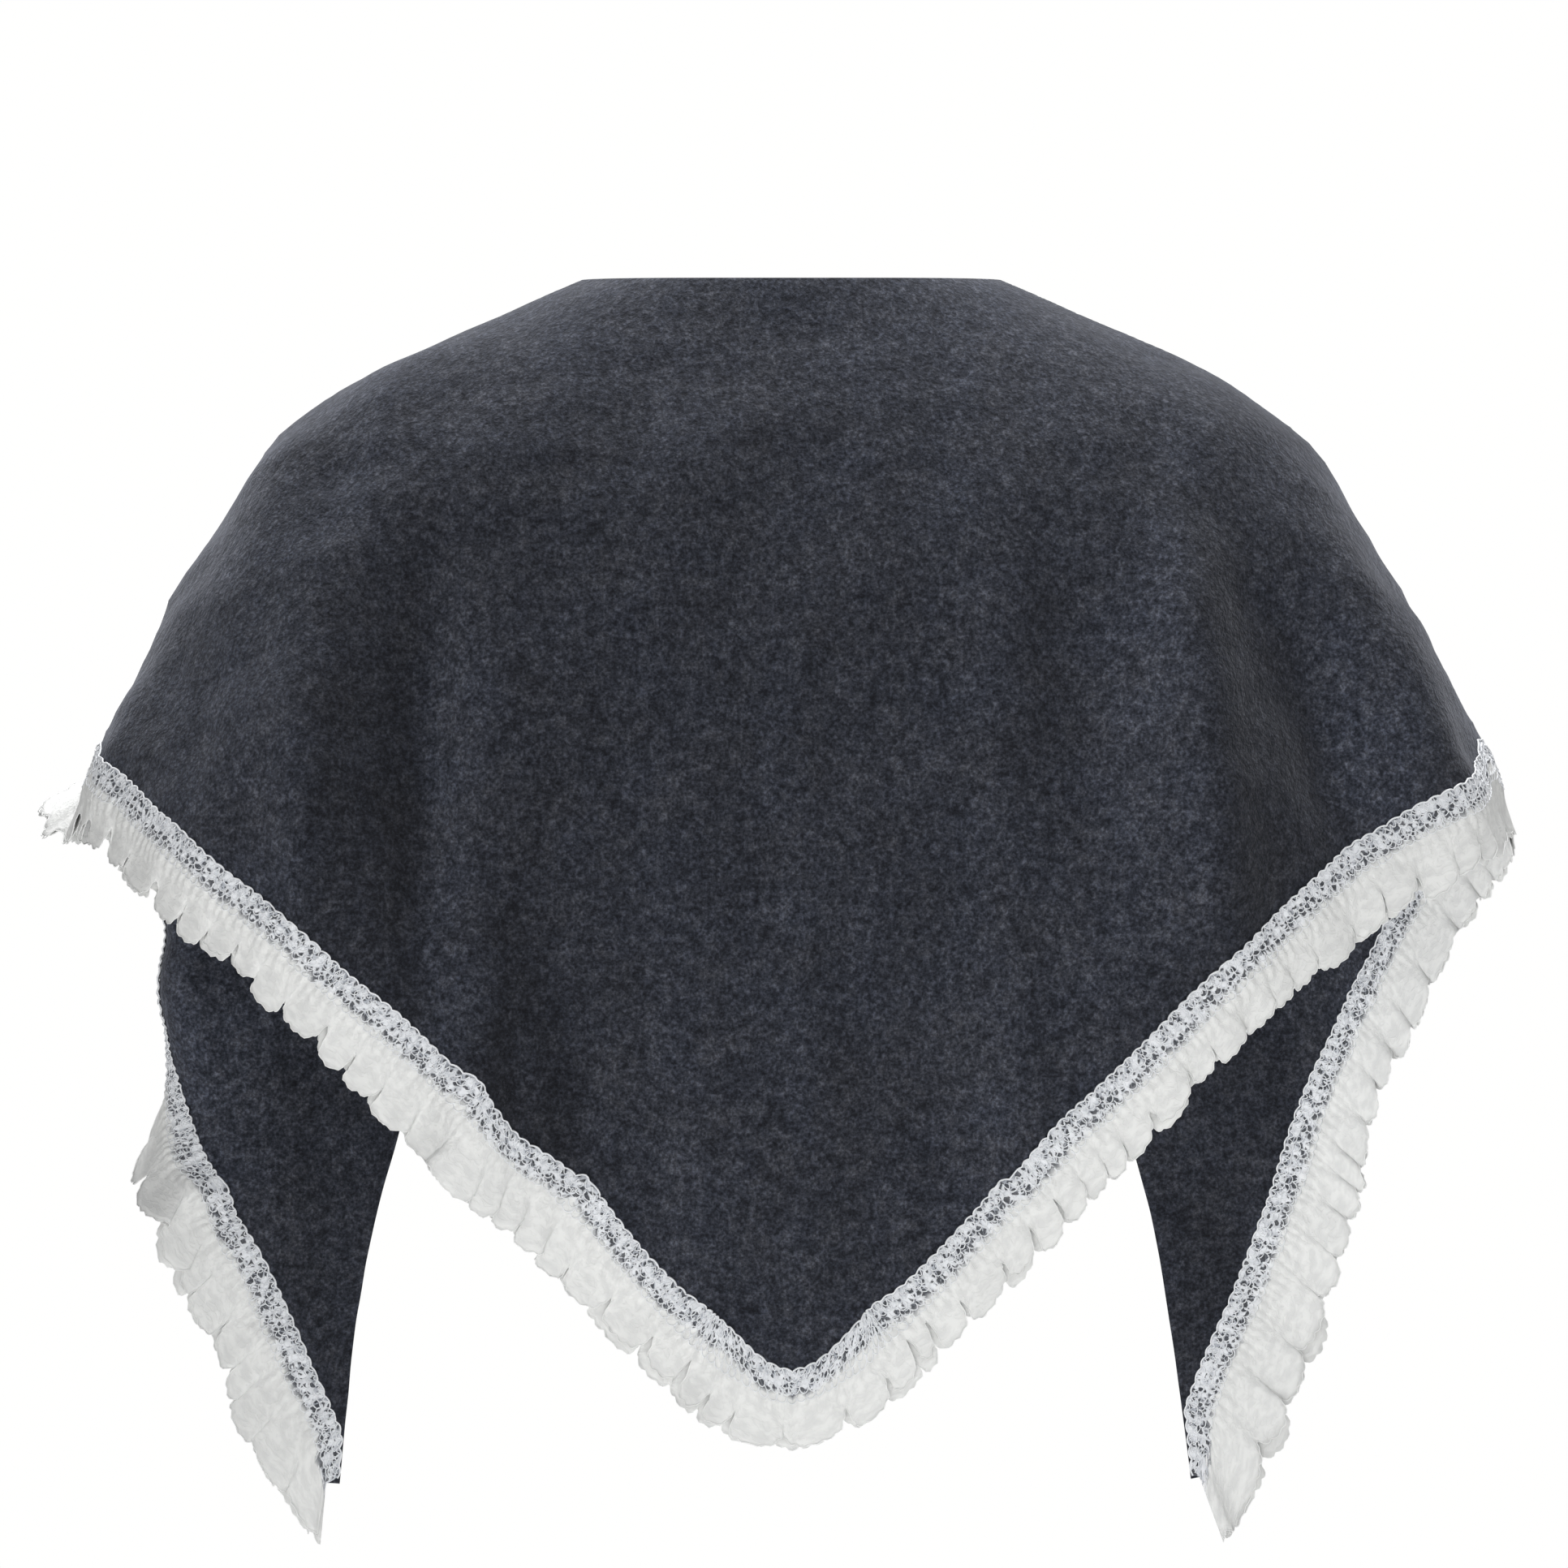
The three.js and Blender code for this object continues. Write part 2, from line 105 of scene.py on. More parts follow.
def make_camera():
    data = bpy.data.cameras.new("camera")
    data.sensor_width = SENSOR_WIDTH
    data.lens = SENSOR_WIDTH * CAMERA_DISTANCE / FRAME_WIDTH
    camera = add_object("camera", data)
    camera.location = VIEW_CENTRE + Vector((0.0, -CAMERA_DISTANCE, 0.0))
    look_at(camera, VIEW_CENTRE)
    bpy.context.scene.camera = camera


def make_floor():
    disc = bmesh.new()
    bmesh.ops.create_circle(disc, cap_ends=True, segments=FLOOR_SIDES, radius=FLOOR_RADIUS)
    bmesh.ops.translate(disc, verts=disc.verts, vec=(0.0, 0.0, cad_low.z - FLOOR_DROP))
    mesh = bpy.data.meshes.new("floor")
    disc.to_mesh(mesh)
    disc.free()
    floor = add_object("floor", mesh)
    paint = bpy.data.materials.new("floor_paint")
    paint.use_nodes = True
    shader = paint.node_tree.nodes["Principled BSDF"]
    shader.inputs["Base Color"].default_value = (0.80, 0.80, 0.79, 1.0)
    shader.inputs["Roughness"].default_value = 0.9
    shader.inputs["Emission Color"].default_value = (1.0, 1.0, 1.0, 1.0)
    shader.inputs["Emission Strength"].default_value = 0.15
    mesh.materials.append(paint)


def add_panel(panel):
    data = bpy.data.lights.new(panel.name, "AREA")
    data.size = panel.size
    data.energy = panel.power
    light = add_object(panel.name, data)
    light.location = panel.place
    light.visible_camera = False
    look_at(light, Vector(panel.aim))


def make_world():
    """An even glow for the cloth, and plain white where the camera sees past it."""
    world = bpy.data.worlds.new("studio")
    bpy.context.scene.world = world
    world.use_nodes = True
    nodes, links = world.node_tree.nodes, world.node_tree.links
    glow = nodes["Background"]
    glow.inputs["Color"].default_value = (1.0, 1.0, 1.0, 1.0)
    glow.inputs["Strength"].default_value = WORLD_GLOW
    plain = nodes.new("ShaderNodeBackground")
    plain.inputs["Color"].default_value = (1.0, 1.0, 0.995, 1.0)
    sight = nodes.new("ShaderNodeLightPath")
    mix = nodes.new("ShaderNodeMixShader")
    links.new(sight.outputs["Is Camera Ray"], mix.inputs["Fac"])
    links.new(glow.outputs["Background"], mix.inputs[1])
    links.new(plain.outputs["Background"], mix.inputs[2])
    links.new(mix.outputs["Shader"], nodes["World Output"].inputs["Surface"])


bpy.context.scene.view_settings.view_transform = "Standard"
make_camera()
make_floor()
make_world()
for panel in PANELS:
    add_panel(panel)
print("camera at", tuple(round(c, 3) for c in bpy.context.scene.camera.location))

# %% [markdown]
# ## The shape of the worn cloth
#
# A worn triangle can be simulated, but then the folds fall where the solver likes. Here the shape
# is known, so the cloth is drawn instead: level sections of the shoulders and upper arms, a table
# of edges, and soft folds that fan out below the shoulders. All of it is in millimetres from the
# centre of the neck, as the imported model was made, and only the last step turns it into metres.

# %% Sections, edges and folds
MM = 0.001
Section = namedtuple("Section", "drop half_width back front square")
SECTIONS = [
    Section(0, 98, 62, 60, 0.02), Section(9, 119, 66, 66, 0.05), Section(21, 145, 71, 73, 0.08),
    Section(46, 202, 83, 88, 0.12), Section(73, 238, 96, 100, 0.15),
    Section(112, 266, 109, 112, 0.16), Section(168, 297, 120, 124, 0.16),
    Section(239, 331, 127, 132, 0.16), Section(300, 338, 129, 138, 0.16),
    Section(400, 338, 128, 140, 0.16), Section(600, 334, 120, 136, 0.16),
]
# Edges of the cloth as (distance from the middle, drop below the neck).
NECK_SIDE, ELBOW = (98, 0), (331, 239)
POINT = [(0, 524), (13, 521), (28, 513)]
BACK_HEM = {
    "left": POINT + [(45, 499), (82, 461), (118, 424), (139, 406), (152, 390), (184, 361),
                     (218, 331), (256, 298), (294, 268), (319, 249), ELBOW],
    "right": POINT + [(43, 500), (97, 444), (135, 404), (184, 355), (237, 306), (276, 277),
                      (300, 260), (319, 247), ELBOW],
}
FRONT_EDGE = {
    "left": [NECK_SIDE, (99, 2), (101, 10), (105, 24), (110, 48), (122, 112), (142, 222),
             (163, 320), (183, 389), (199, 445), (208, 500), (216, 572)],
    "right": [NECK_SIDE, (99, 2), (101, 10), (104, 24), (108, 48), (117, 112), (130, 222),
              (145, 320), (159, 395), (172, 445), (181, 500), (190, 570)],
}
FRONT_HEM = {
    "left": [ELBOW, (314, 262), (308, 290), (307, 320), (308, 352), (297, 396), (282, 436),
             (264, 471), (247, 510), (229, 550), (219, 572)],
    "right": [ELBOW, (325, 256), (303, 297), (272, 355), (254, 393), (240, 437), (225, 478),
              (211, 512), (199, 544), (192, 570)],
}
# Folds that run down the cloth: degrees round the figure from the centre back, how far the fold
# turns on its way down, the widths of its two flanks in degrees, its depth outwards, and the drops
# at which it starts and is full.
Fold = namedtuple("Fold", "angle lean inner outer depth start full")
FOLDS = {
    "left": [
        Fold(44, -8, 10, 15, 12, 70, 330), Fold(25, -4, 3.5, 9, 10, 200, 380),
        Fold(16, -2, 8, 4, -9, 200, 400), Fold(68, 0, 9, 8, -7, 60, 250),
        Fold(122, 6, 10, 10, 7, 90, 330), Fold(141, -2, 9, 8, -7, 120, 380),
    ],
    "right": [
        Fold(29, -3, 12, 9, 11, 70, 310), Fold(45, 3, 8, 9, -12, 60, 250),
        Fold(64, 2, 8, 9, 8, 60, 240), Fold(118, 5, 10, 10, -7, 80, 300),
        Fold(139, 0, 9, 9, 8, 110, 360),
    ],
}

print(len(SECTIONS), "sections and", sum(map(len, FOLDS.values())), "folds")

# %% [markdown]
# ## From a place on the cloth to a point
#
# A place on the cloth is how far it lies from the middle and how far it falls from the top of the
# shoulder. The section at that drop gives a rounded outline, and the place across it gives the
# turn round the figure. The folds then push the point out or in, square to the outline.

# %% Points of the cloth
SOLVER_STEPS = 26


def smooth_step(value):
    clamped = np.clip(value, 0.0, 1.0)
    return clamped * clamped * (3.0 - 2.0 * clamped)


def section_value(column, drop):
    """One column of SECTIONS at any drops, by a smooth curve through its rows."""
    rows = np.array([section.drop for section in SECTIONS], float)
    values = np.array([getattr(section, column) for section in SECTIONS], float)
    ends = np.r_[values[0], values, values[-1]], np.r_[rows[0], rows, rows[-1]]
    slopes = (ends[0][2:] - ends[0][:-2]) / (ends[1][2:] - ends[1][:-2])
    low = np.clip(np.searchsorted(rows, drop) - 1, 0, len(rows) - 2)
    span = rows[low + 1] - rows[low]
    part = np.clip((drop - rows[low]) / span, 0.0, 1.0)
    square, cube = part ** 2, part ** 3
    return ((2 * cube - 3 * square + 1) * values[low]
            + (cube - 2 * square + part) * slopes[low] * span
            + (3 * square - 2 * cube) * values[low + 1]
            + (cube - square) * slopes[low + 1] * span)


def solve_rising(rising, low, high, target):
    """The inputs between low and high where a rising function reaches the targets."""
    low = np.full(np.shape(target), float(low))
    high = np.full(np.shape(target), float(high))
    for _ in range(SOLVER_STEPS):
        middle = (low + high) / 2
        below = rising(middle) < target
        low, high = np.where(below, middle, low), np.where(below, high, middle)
    return (low + high) / 2


def ridge_drop(across):
    """How far below the neck edge the top of the shoulder lies, at a distance across."""
    found = solve_rising(lambda drop: section_value("half_width", drop), 0, ELBOW[1], across)
    return np.where(across <= NECK_SIDE[0], 0.0, found)


def fold_depth(side, angle, drop):
    """How far the folds of one side push the cloth out, by the angle round the figure."""
    depth = np.zeros_like(drop)
    for fold in FOLDS[side]:
        growth = smooth_step((drop - fold.start) / (fold.full - fold.start))
        offset = angle - (fold.angle + fold.lean * growth)
        width = np.where(offset < 0, fold.inner, fold.outer)
        depth += fold.depth * growth * np.exp(-(offset / width) ** 2)
    return depth


def cloth_points(side, place):
    """Points of the cloth. place holds (across, fall), and fall is negative on the front."""
    across, fall = place[..., 0], place[..., 1]
    drop = ridge_drop(across) + np.abs(fall)
    half_width = section_value("half_width", drop)
    square = section_value("square", drop)
    behind = fall >= 0
    depth = np.where(behind, section_value("back", drop), section_value("front", drop))
    turn = solve_rising(lambda a: np.sin(a) * (1 + square * np.cos(a) ** 2), 0, np.pi / 2,
                        across / half_width)
    facing = np.where(behind, -1.0, 1.0)
    angle = np.where(behind, np.degrees(turn), 180 - np.degrees(turn))
    out_x, out_y = depth * np.sin(turn), facing * half_width * np.cos(turn)
    push = fold_depth(side, angle, drop) / np.hypot(out_x, out_y)
    along = facing * depth * np.cos(turn) * (1 + square * np.sin(turn) ** 2)
    sign = -1.0 if side == "left" else 1.0
    return np.stack([sign * (across + push * out_x), along + push * out_y, -drop], axis=-1)


print("the figure is widest at a drop of", max(SECTIONS, key=lambda s: s.half_width).drop)

# %% [markdown]
# ## A grid over the cloth
#
# The cloth needs a grid whose columns start on the long side and end on the hem, because then its
# last rows run along the hem, and the lace can be made from them. Each column is divided evenly
# by its real length, so that the faces stay close to square and the cloth isn't stretched.

# %% Edges as fine lines
EDGE_STEPS = 200
TIP_CUT = 0.993              # both edges stop short of the tails' tips, which are blunt


def curve_through(points, at):
    """Points at fractional places in an array, on a smooth curve through its rows."""
    low = np.minimum(at.astype(int), len(points) - 2)
    part = (at - low).reshape(-1, *[1] * (points.ndim - 1))
    before, start, end, after = (points[np.clip(low + k, 0, len(points) - 1)] for k in range(-1, 3))
    out, into = (end - before) / 2, (after - start) / 2
    return ((2 * start - 2 * end + out + into) * part ** 3
            + (3 * end - 3 * start - 2 * out - into) * part ** 2 + out * part + start)


def edge_places(rows, facing):
    """Fine (across, fall) places along a table of edge rows: facing is -1 on the front."""
    rows = np.array(rows, float)
    fall = facing * np.maximum(0.0, rows[:, 1] - ridge_drop(rows[:, 0]))
    places = np.stack([rows[:, 0], fall], axis=-1)
    return curve_through(places, np.linspace(0, len(places) - 1, EDGE_STEPS + 1))


def lengths_along(points):
    steps = np.linalg.norm(np.diff(points, axis=0), axis=1)
    return np.r_[0.0, np.cumsum(steps)]


def even_places(side, places, count):
    travelled = lengths_along(cloth_points(side, places))
    wanted = np.linspace(0, travelled[-1] * TIP_CUT, count + 1)
    return np.stack([np.interp(wanted, travelled, places[:, k]) for k in range(2)], axis=-1)


def unit(vectors):
    return vectors / np.linalg.norm(vectors, axis=-1, keepdims=True)


neck_to_tail = edge_places(FRONT_EDGE["left"], -1)
print("the left front edge is", round(lengths_along(cloth_points("left", neck_to_tail))[-1]), "mm")

# %% [markdown]
# ## Columns from the long side to the hem
#
# The same number of even steps along both edges gives the ends of the columns. A slanted column
# has more of its length under the lace than a square one, so that stretch is worked out for each.

# %% Both halves of the grid
COLUMNS_A_SIDE = 180
BODY_ROWS = 112
BAND_ROWS = 6                # rows of the grid under the lace
LACE_BAND = 18.2             # how far they reach up from the hem, square to it
LACE_SHARE = 0.94            # and the most they take of a short column
CORNER_FOLD = 4.5            # what the lace gains in width where it folds beside the point
CORNER_AT, CORNER_SPREAD = 34.0, 18.0
ELBOW_SHARE = 0.30           # from the point to an elbow, as a share of the whole hem
ELBOW_NARROW = 0.25          # what the lace loses in width where it turns round an elbow
ELBOW_SPREAD = 0.035
# A column that meets the hem at a slant has a longer stretch under the lace, up to a limit: the
# least sine it counts with, which rises from the back of the elbow to the front.
LEAST_SINE, SINE_RISE = 0.5, 0.38
RISE_FROM, RISE_OVER = 0.53, 0.08
FINE_STEPS = 300
SLANT_STEPS = 20             # fine steps at the foot of a column that tell its slant


def lace_lengths(fine):
    """How much of each fine column lies under the lace."""
    hem = fine[:, -1]
    hem_runs = unit(np.gradient(hem, axis=0))
    sine = np.linalg.norm(np.cross(hem_runs, unit(hem - fine[:, -SLANT_STEPS])), axis=-1)
    from_corner = lengths_along(hem) - CORNER_AT
    width = LACE_BAND + CORNER_FOLD * np.exp(-(from_corner / CORNER_SPREAD) ** 2)
    share_of_side = np.linspace(0, 1, len(fine))
    least = LEAST_SINE + SINE_RISE * smooth_step((share_of_side - RISE_FROM) / RISE_OVER)
    width *= 1 - ELBOW_NARROW * np.exp(-((share_of_side - 2 * ELBOW_SHARE) / ELBOW_SPREAD) ** 2)
    return width / np.maximum(sine, least)


def side_grid(side):
    """Points of half the cloth, [column, row], from the centre back to the end of the hem."""
    turn = np.linspace(0, np.pi / 2, EDGE_STEPS, endpoint=False)
    neck = np.stack([NECK_SIDE[0] * np.sin(turn), np.zeros_like(turn)], axis=-1)
    long_side = np.r_[neck, edge_places(FRONT_EDGE[side], -1)]
    hem = np.r_[edge_places(BACK_HEM[side], 1)[:-1], edge_places(FRONT_HEM[side], -1)]
    tops = even_places(side, long_side, COLUMNS_A_SIDE)
    feet = even_places(side, hem, COLUMNS_A_SIDE)
    share = np.linspace(0, 1, FINE_STEPS + 1)
    fine = cloth_points(side, tops[:, None] + (feet - tops)[:, None] * share[:, None])
    even = np.empty((COLUMNS_A_SIDE + 1, BODY_ROWS + BAND_ROWS + 1))
    for i, (column, lace) in enumerate(zip(fine, lace_lengths(fine))):
        travelled = lengths_along(column)
        band = min(LACE_SHARE * travelled[-1], lace)
        wanted = np.r_[np.linspace(0, travelled[-1] - band, BODY_ROWS, endpoint=False),
                       np.linspace(travelled[-1] - band, travelled[-1], BAND_ROWS + 1)]
        even[i] = np.interp(wanted, travelled, share)
    return cloth_points(side, tops[:, None] + (feet - tops)[:, None] * even[..., None])


def normals_of(grid):
    """Outward normals of a grid of points."""
    return unit(np.cross(np.gradient(grid, axis=1), np.gradient(grid, axis=0)))


cloth = np.r_[side_grid("left")[::-1], side_grid("right")[1:]]
long_side, hem_side = (round(lengths_along(cloth[:, row])[-1]) for row in (0, -1))
print("grid of", cloth.shape[:2], "points; long side", long_side, "mm and hem", hem_side, "mm")

# %% [markdown]
# ## The rolled hem
#
# Below the left elbow the front hem rolls forward, which hides its lace from behind. Each column's
# foot is wound round a radius, from a set length of cloth upwards. The radius opens out towards
# both ends of the roll, so that the hem runs into it without a kink.

# %% The roll
# The roll by the share of the side from the point to the end: where it starts, is full, begins to
# open and has gone. reach is the cloth that rolls, from the hem up.
Roll = namedtuple("Roll", "start full opens gone reach radius")
ROLL = Roll(start=0.595, full=0.64, opens=0.72, gone=0.85, reach=42, radius=13)


def roll_hem(grid):
    """Rolls the foot of the left front forward, round a radius that opens out at both ends."""
    normals = normals_of(grid)
    rolled = grid.copy()
    for i in range(COLUMNS_A_SIDE):
        place = 1 - i / COLUMNS_A_SIDE
        share = (smooth_step((place - ROLL.start) / (ROLL.full - ROLL.start))
                 * smooth_step((ROLL.gone - place) / (ROLL.gone - ROLL.opens)))
        if share <= 0:
            continue
        from_hem = lengths_along(grid[i, ::-1])[::-1]
        below = np.flatnonzero(from_hem >= ROLL.reach)[-1]
        part = (from_hem[below] - ROLL.reach) / (from_hem[below] - from_hem[below + 1])
        start = grid[i, below] + part * (grid[i, below + 1] - grid[i, below])
        away = grid[i, below + 1] - grid[i, below]
        away /= np.linalg.norm(away)
        radius = ROLL.radius / share
        turn = ((ROLL.reach - from_hem[below + 1:]) / radius)[:, None]
        rolled[i, below + 1:] = (start + radius * np.sin(turn) * away
                                 + radius * (1 - np.cos(turn)) * normals[i, below])
    return rolled


cloth = roll_hem(cloth)
print("the rolled hem is", round(lengths_along(cloth[:, -1])[-1] - hem_side), "mm longer")

# %% [markdown]
# ## Creases and a faint unevenness
#
# Cloth this soft never hangs as cleanly as a drawn surface. So it gets shallow creases, laid as
# soft troughs and ridges between two named ends, and an unevenness made of a few long waves.

# %% Creases
# Creases from one place to another, as (x, z) seen from behind, on the back or on the fronts.
Crease = namedtuple("Crease", "back start end width depth")
CREASES = [
    Crease(True, (-222, -100), (-226, -340), 17, 8.0),
    Crease(True, (-172, -95), (-172, -390), 19, -11.0),
    Crease(True, (-262, -150), (-286, -250), 14, -2.4),
    Crease(True, (-110, -50), (-140, -200), 26, 1.8),
    Crease(True, (60, -40), (120, -130), 26, 1.5),
    Crease(True, (128, -100), (146, -310), 22, -7.0),
    Crease(True, (178, -90), (206, -335), 18, 11.0),
    Crease(True, (238, -115), (254, -290), 18, -7.0),
    Crease(True, (286, -130), (304, -222), 13, 2.5),
    Crease(True, (-156, -340), (-150, -440), 10, 4.5),
    Crease(True, (-130, -330), (-126, -440), 10, -6.0),
    Crease(True, (-60, -320), (-92, -440), 18, 1.8),
    Crease(True, (40, -360), (20, -470), 22, -1.4),
    Crease(True, (104, -290), (112, -420), 20, 2.0),
    Crease(False, (-282, -330), (-190, -352), 11, -2.6),
    Crease(False, (-276, -392), (-196, -408), 9, 2.4),
    Crease(False, (-262, -436), (-206, -446), 9, -2.0),
    Crease(False, (-170, -150), (-205, -300), 20, 2.4),
    Crease(False, (176, -140), (214, -300), 18, 2.6),
    Crease(False, (150, -340), (236, -372), 12, -2.2),
    Crease(False, (168, -430), (222, -446), 10, 2.0),
]
CREASE_CREST, CREASE_FALL = 1.2, 2.2     # full in the middle of a crease, and faded at its ends
FACE_FADE = 40.0             # and over this distance before the other face
NECK_PLAIN, NECK_FADE = 2.0, 60.0    # no creases at the neck edge, and all of them below it


def crease_depth(grid):
    """How far the creases push each point out along its normal."""
    depth = np.zeros(grid.shape[:2])
    flat = grid[..., [0, 2]]
    for crease in CREASES:
        start, end = np.array(crease.start, float), np.array(crease.end, float)
        run = end - start
        along = ((flat - start) @ run) / (run @ run)
        nearest = start + np.clip(along, 0, 1)[..., None] * run
        off = np.linalg.norm(flat - nearest, axis=-1)
        fade = smooth_step(CREASE_CREST - CREASE_FALL * np.abs(np.clip(along, 0, 1) - 0.5))
        face = smooth_step((-grid[..., 1] if crease.back else grid[..., 1]) / FACE_FADE)
        depth += crease.depth * fade * face * np.exp(-(off / crease.width) ** 2)
    return depth


def uneven_depth(grid, height=0.55, shortest=22, longest=80, waves=14, seed=5):
    """A faint unevenness: waves of several lengths that cross in random directions."""
    chance = np.random.default_rng(seed)
    depth = np.zeros(grid.shape[:2])
    for _ in range(waves):
        direction = chance.normal(size=3)
        direction /= np.linalg.norm(direction)
        length = chance.uniform(shortest, longest)
        shift = chance.uniform(0, 2 * np.pi)
        depth += np.sin(2 * np.pi * (grid @ direction) / length + shift) * length / longest
    return depth * height


below_neck = smooth_step((-cloth[..., 2] - NECK_PLAIN) / NECK_FADE)
shift = (crease_depth(cloth) + uneven_depth(cloth)) * below_neck
cloth = cloth + shift[..., None] * normals_of(cloth)
cloth_normals = normals_of(cloth)
print("the deepest crease is", max(abs(crease.depth) for crease in CREASES), "mm")

# %% [markdown]
# ## From a grid of points to a cloth wall
#
# bmesh makes a flat grid with the right number of faces. Its vertices then move to the points of
# the cloth, and Solidify gives the wall its thickness. A narrow Bevel rounds the cut edge, which is
# never sharp on brushed wool.

# %% The wool
WOOL_WALL = 1.8              # thickness
EDGE_ROUND = 0.7
EDGE_ANGLE = 60              # degrees: only the cut edge turns more sharply than this
PAINTED_SHADE_FULL = 0.6               # the sine of the tilt at which the painted shade has its whole effect


def sheet_on_grid(name, grid, uv=None, painted_shade=None):
    """A mesh object whose grid of faces lies on points [column, row], in millimetres."""
    columns, rows = grid.shape[:2]
    flat = bmesh.new()
    bmesh.ops.create_grid(flat, x_segments=columns - 1, y_segments=rows - 1, size=1.0)
    mesh = bpy.data.meshes.new(name)
    flat.to_mesh(mesh)
    flat.free()
    place = np.empty(len(mesh.vertices) * 3)
    mesh.vertices.foreach_get("co", place)
    place = (place.reshape(-1, 3) + 1.0) / 2.0
    column = np.rint(place[:, 0] * (columns - 1)).astype(int)
    row = rows - 1 - np.rint(place[:, 1] * (rows - 1)).astype(int)
    mesh.vertices.foreach_set("co", (grid[column, row] * MM).ravel())
    if uv is not None:
        corner = np.empty(len(mesh.loops), np.int32)
        mesh.loops.foreach_get("vertex_index", corner)
        layer = mesh.uv_layers.new(name="along_lace")
        layer.data.foreach_set("uv", uv[column, row][corner].astype(np.float32).ravel())
    # An optional point attribute: on the wool, the painted shade and light of the fold flanks.
    if painted_shade is not None:
        layer = mesh.attributes.new("painted_shade", "FLOAT", "POINT")
        layer.data.foreach_set("value", painted_shade[column, row].astype(np.float32))
    mesh.shade_smooth()
    mesh.update()
    return add_object(name, mesh)


def give_wall(piece, thickness):
    wall = piece.modifiers.new("wall", "SOLIDIFY")
    wall.thickness = thickness * MM
    wall.offset = 0.0


def wall_triangles(piece):
    shown = piece.evaluated_get(bpy.context.evaluated_depsgraph_get()).data
    return sum(len(face.vertices) - 2 for face in shown.polygons)


def painted_shade_tilt(grid, normals):
    """How far the cloth is tilted aside off the plain body under it, from -1 to 1, for painted
    shade.
    """
    drop = -grid[..., 2]
    depth = np.where(grid[..., 1] < 0, section_value("back", drop), section_value("front", drop))
    body_x = grid[..., 0] / section_value("half_width", drop) ** 2
    body_y = grid[..., 1] / depth ** 2
    turned = body_x * normals[..., 1] - body_y * normals[..., 0]
    level = np.hypot(body_x, body_y) * np.hypot(normals[..., 0], normals[..., 1])
    return np.clip(turned / np.maximum(level, 1e-6) / PAINTED_SHADE_FULL, -1, 1)


# The tilt aside goes on the wool as an attribute that paints shade and light on the fold flanks.
wool = sheet_on_grid("wool_cloth", cloth, painted_shade=painted_shade_tilt(cloth, cloth_normals))
give_wall(wool, WOOL_WALL)
rounded = wool.modifiers.new("rounded_edge", "BEVEL")
rounded.width = EDGE_ROUND * MM
rounded.segments = 2
rounded.profile = 0.5
rounded.limit_method = "ANGLE"
rounded.angle_limit = np.radians(EDGE_ANGLE)
print("wool cloth:", wall_triangles(wool), "triangles")

# %% [markdown]
# ## Gathering the lace
#
# The trim is a narrow lace strip, gathered on a thread and sewn along the hem on both faces of the
# wool. Its upper part lies on the wool as a crowded net, and its lower part stands past the edge
# as a frill. A gathering thread makes pleats of no fixed width, so the pleats here get their
# widths, depths and lengths from a seeded random draw. Plain waves would look like a concertina.
# So towards the free edge the lace also moves aside as it rises and falls, by more than a pleat's
# width, and each pleat's leading edge lies over the next. Round the elbows, where the hem turns
# sharply, the pleats are calmer, because they would cross there.

# %% Uneven waves along the hem
STRIP_COLUMNS = 2000
FRILL_ROWS = 7
HEM_GAP = 0.4                # the frill starts this far past the wool's edge
# How far the longest pleats hang past the hem, by the share of the hem from the left tail's end.
HANG = [(0, 29), (0.05, 25), (0.10, 23), (0.25, 22.5), (0.29, 20), (0.35, 19.5), (0.40, 23),
        (0.47, 23.5), (0.50, 20), (0.53, 17.5), (0.62, 17.5), (0.68, 19), (0.74, 22), (0.82, 23),
        (0.88, 24), (0.93, 28), (1.0, 38)]
HANG_DRIFT = 3.8             # and how far it drifts, either way
PLEAT_WIDTH = (11.0, 31.0)   # what a pleat takes of the hem, which is as wide as it shows
PLEAT_RISE = (0.7, 2.2)      # how far its leading edge stands off the middle at the free edge
PLEAT_LAP = (1.15, 1.75)     # over 1, its leading edge lies over the next pleat
DROOP = 0.40                 # how far the frill hangs instead of standing square to the hem
RISE_CURVE = 0.7             # under 1, a pleat stands off soon below the hem
CALM_LEAST = 0.25            # what is left of the pleats at an elbow
CALM_FROM, CALM_OVER = 15.0, 45.0
TIP_FAN, TIP_TURN = 45.0, 0.56   # the frill turns down along the hem at the two ends
POINT_EASE = 45.0            # the lace turns the corner at the point over this much hem

hem_lengths = lengths_along(cloth[:, -1])
hem_total = hem_lengths[-1]
along_hem = np.linspace(0, hem_total, STRIP_COLUMNS)
hang = np.interp(along_hem / hem_total, *zip(*HANG))


def uneven_phase(at, shortest, longest, seed):
    """Phase of waves along the hem whose lengths are drawn between two limits."""
    chance = np.random.default_rng(seed)
    widths = chance.uniform(shortest, longest, int(at.max() / shortest) + 2)
    return 2 * np.pi * np.interp(at, np.r_[0.0, np.cumsum(widths)], np.arange(len(widths) + 1.0))


def uneven_value(at, low, high, spacing, seed):
    """A value that drifts smoothly between two limits along the hem."""
    chance = np.random.default_rng(seed)
    knots = chance.uniform(low, high, int(at.max() / spacing) + 3)
    place = at / spacing
    left = place.astype(int)
    part = smooth_step(place - left)
    return knots[left] * (1 - part) + knots[left + 1] * part


pleat = uneven_phase(along_hem, *PLEAT_WIDTH, seed=11)
rise = uneven_value(along_hem, *PLEAT_RISE, spacing=17, seed=12)
to_end = np.minimum(along_hem, hem_total - along_hem)
from_elbow = np.abs(np.abs(along_hem / hem_total - 0.5) - ELBOW_SHARE) * hem_total
lap = uneven_value(along_hem, *PLEAT_LAP, spacing=23, seed=13) / np.gradient(pleat, along_hem)
calm = CALM_LEAST + (1 - CALM_LEAST) * smooth_step((from_elbow - CALM_FROM) / CALM_OVER)
lap *= calm
rise *= calm
print("pleats:", int(pleat[-1] / (2 * np.pi)))

